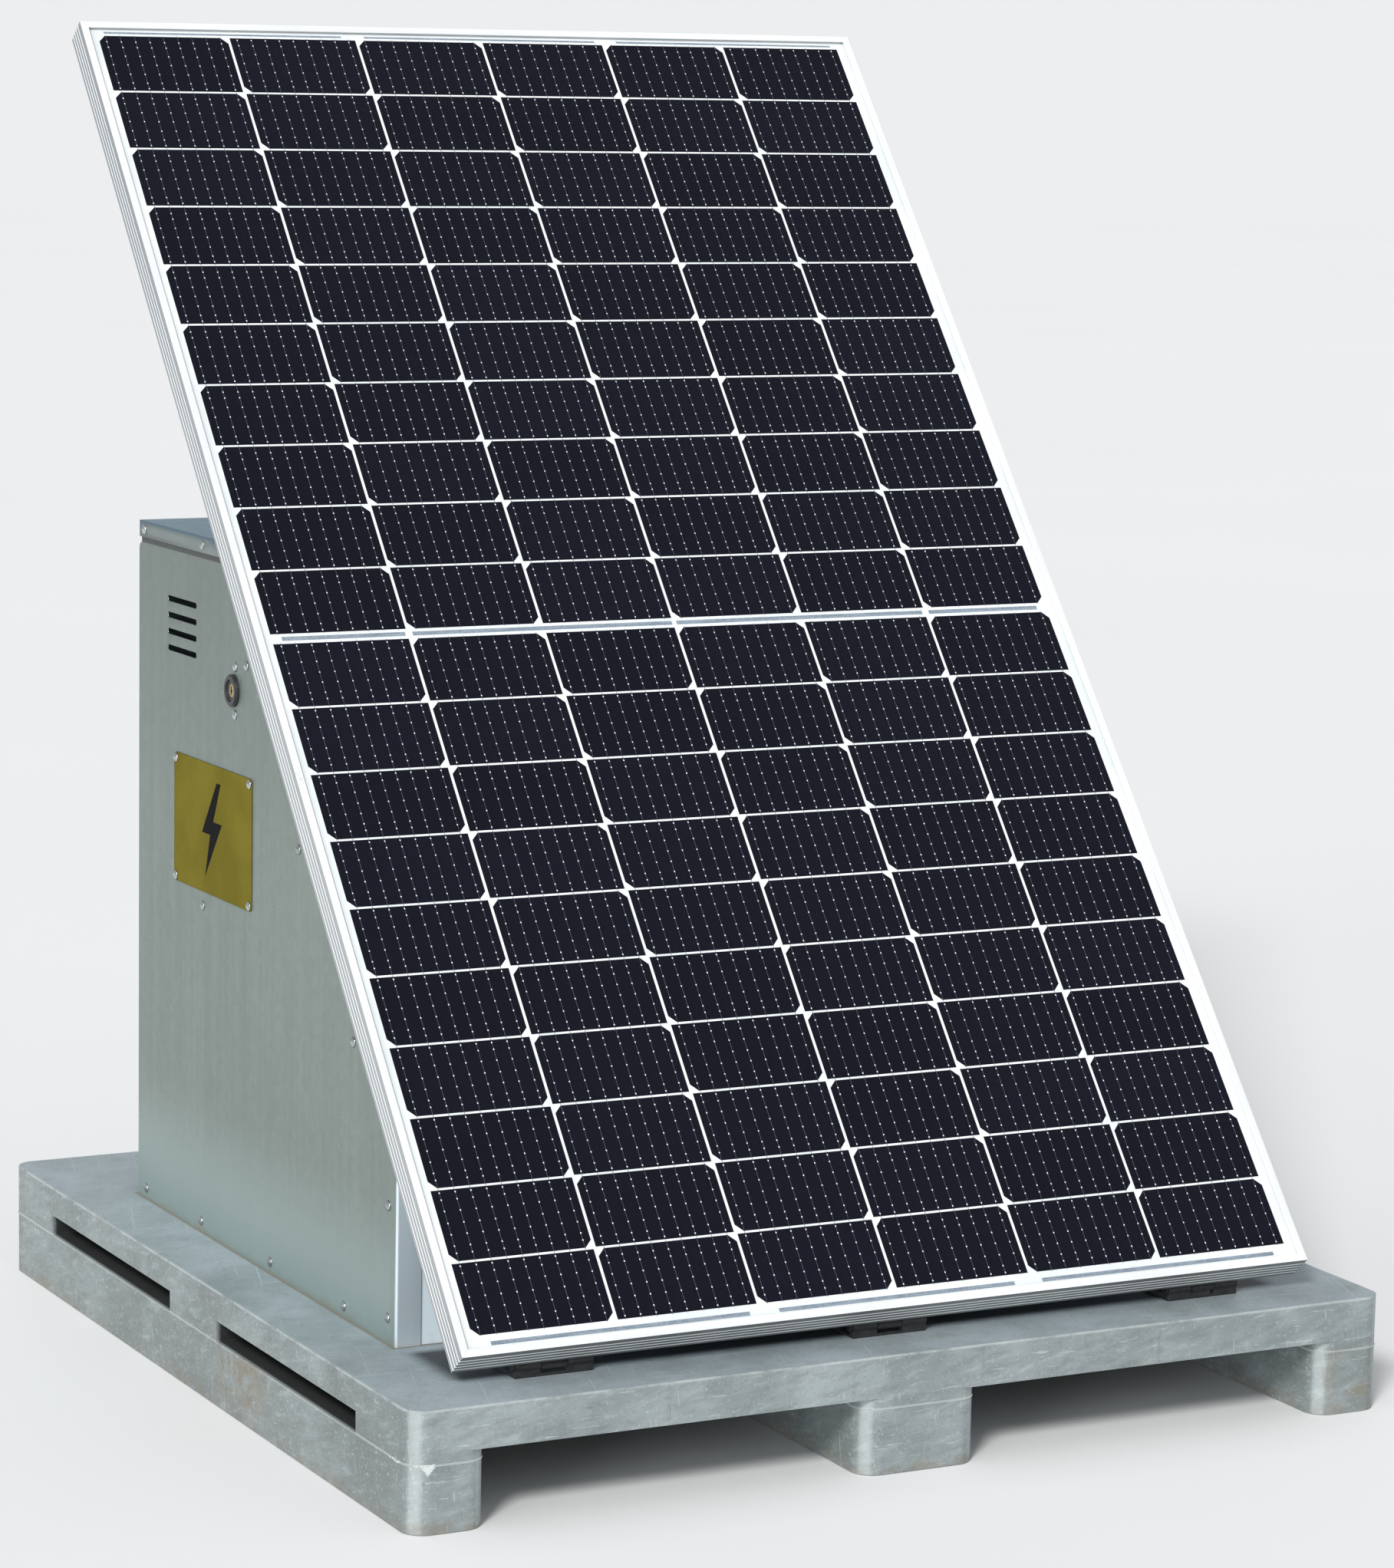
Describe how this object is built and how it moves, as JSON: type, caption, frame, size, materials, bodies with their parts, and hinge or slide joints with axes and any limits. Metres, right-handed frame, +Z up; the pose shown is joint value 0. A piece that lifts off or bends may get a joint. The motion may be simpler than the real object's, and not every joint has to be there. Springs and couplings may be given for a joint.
{
  "type": "fence energizer",
  "caption": "Solar fence energizer station: lockable sheet-steel housing with battery and energizer on a plastic ballast pallet, closed by a large hinged solar panel.",
  "frame": {"origin": "centre of the pallet's footprint, on the ground under its runners", "axes": "+X along the panel's width to the right seen from the front, -Y towards the front where the panel's lower edge is, +Z up"},
  "size_m": [1.19, 1.2, 1.5129],
  "materials": {
    "deck_plastic": "satin",
    "runner_plastic": "satin",
    "galvanised_sheet": "satin",
    "zinc_steel": "satin",
    "dark_steel": "satin",
    "seal_rubber": "matte",
    "sign_yellow": "satin",
    "lock_black": "satin",
    "brass": "satin",
    "board_wood": "matte",
    "case_black": "matte",
    "energizer_green": "satin",
    "lens_green": "gloss",
    "knob_red": "gloss",
    "knob_yellow": "gloss",
    "knob_green": "gloss",
    "controller_grey": "satin",
    "display_glass": "gloss",
    "button_grey": "satin",
    "battery_grey": "satin",
    "lead_alloy": "satin",
    "cable_black": "matte",
    "frame_aluminium": "satin",
    "panel_glass": "gloss",
    "solar_cells": "gloss"
  },
  "bodies": {
    "base": {"pallet_deck": "deck_plastic", "pallet_runner_left": "runner_plastic", "pallet_runner_middle": "runner_plastic", "pallet_runner_right": "runner_plastic", "floor_tray": "galvanised_sheet", "side_plate_left": "galvanised_sheet", "side_plate_right": "galvanised_sheet", "front_panel": "galvanised_sheet", "rear_panel": "galvanised_sheet", "top_lid": "galvanised_sheet", "top_cross_rail": "galvanised_sheet", "corner_angles": "galvanised_sheet", "lock_backing_plate": "galvanised_sheet", "tray_anchor_bolts": "zinc_steel", "housing_rivets": "zinc_steel", "lock_nut": "zinc_steel", "hinge_screws": "zinc_steel", "stay_catch_stud": "zinc_steel", "board_standoffs": "zinc_steel", "battery_clamp": "zinc_steel", "hinge_brackets": "dark_steel", "hinge_pins": "dark_steel", "edge_seals": "seal_rubber", "sign_plate": "sign_yellow", "lock_housing": "lock_black", "energizer_studs": "brass", "equipment_board": "board_wood", "energizer_back_case": "case_black", "lead_glands": "case_black", "battery_case": "case_black", "energizer_front_case": "energizer_green", "energizer_status_lens": "lens_green", "controller_case": "controller_grey", "controller_window": "display_glass", "battery_lid": "battery_grey", "battery_posts": "lead_alloy", "internal_leads": "cable_black"},
    "panel": {"panel_frame_left": "frame_aluminium", "panel_frame_right": "frame_aluminium", "panel_frame_top": "frame_aluminium", "panel_frame_bottom": "frame_aluminium", "panel_glass": "panel_glass", "panel_laminate": "solar_cells", "panel_junction_boxes": "case_black", "panel_leads": "cable_black", "lock_striker": "zinc_steel", "hinge_leaves": "dark_steel", "hinge_bolts": "zinc_steel", "stay_bracket": "zinc_steel"},
    "stay": {"stay_arm": "zinc_steel"},
    "lock_core": {"lock_cylinder": "brass", "lock_cam": "zinc_steel"},
    "power_switch": {"energizer_switch_knob": "case_black"},
    "fence_knob": {"fence_terminal_knob": "knob_red"},
    "half_power_knob": {"half_power_terminal_knob": "knob_yellow"},
    "earth_knob": {"earth_terminal_knob": "knob_green"},
    "up_button": {"controller_up_button": "button_grey"},
    "down_button": {"controller_down_button": "button_grey"},
    "left_handle": {"battery_handle_left": "case_black"},
    "right_handle": {"battery_handle_right": "case_black"}
  },
  "joints": [
    {"name": "panel_hinge", "type": "hinge", "parent": "base", "child": "panel", "pos_m": [0, -0.52259, 0.14239], "axis": [1, 0, 0], "range_deg": [0, 28]},
    {"name": "stay_pivot", "type": "hinge", "parent": "panel", "child": "stay", "pos_m": [0.468, 0.02569, 0.82847], "axis": [1, 0, 0], "range_deg": [0, 82.23]},
    {"name": "lock_turn", "type": "hinge", "parent": "base", "child": "lock_core", "pos_m": [-0.5, 0.098, 0.773], "axis": [-1, 0, 0], "range_deg": [0, 90]},
    {"name": "power_switch_turn", "type": "hinge", "parent": "base", "child": "power_switch", "pos_m": [-0.18, 0.232, 0.62], "axis": [0, 1, 0], "range_deg": [0, 90]},
    {"name": "fence_knob_turn", "type": "hinge", "parent": "base", "child": "fence_knob", "pos_m": [-0.29, 0.217, 0.525], "axis": [0, 1, 0], "continuous": true},
    {"name": "half_power_knob_turn", "type": "hinge", "parent": "base", "child": "half_power_knob", "pos_m": [-0.18, 0.217, 0.525], "axis": [0, 1, 0], "continuous": true},
    {"name": "earth_knob_turn", "type": "hinge", "parent": "base", "child": "earth_knob", "pos_m": [-0.07, 0.217, 0.525], "axis": [0, 1, 0], "continuous": true},
    {"name": "up_button_press", "type": "slide", "parent": "base", "child": "up_button", "axis": [0, 1, 0], "range_m": [0, 0.0012], "stiffness_N_per_m": 400},
    {"name": "down_button_press", "type": "slide", "parent": "base", "child": "down_button", "axis": [0, 1, 0], "range_m": [0, 0.0012], "stiffness_N_per_m": 400},
    {"name": "left_handle_fold", "type": "hinge", "parent": "base", "child": "left_handle", "pos_m": [-0.178, 0.18, 0.342], "axis": [0, 1, 0], "range_deg": [0, 150]},
    {"name": "right_handle_fold", "type": "hinge", "parent": "base", "child": "right_handle", "pos_m": [0.36, 0.18, 0.342], "axis": [0, -1, 0], "range_deg": [0, 150]}
  ]
}
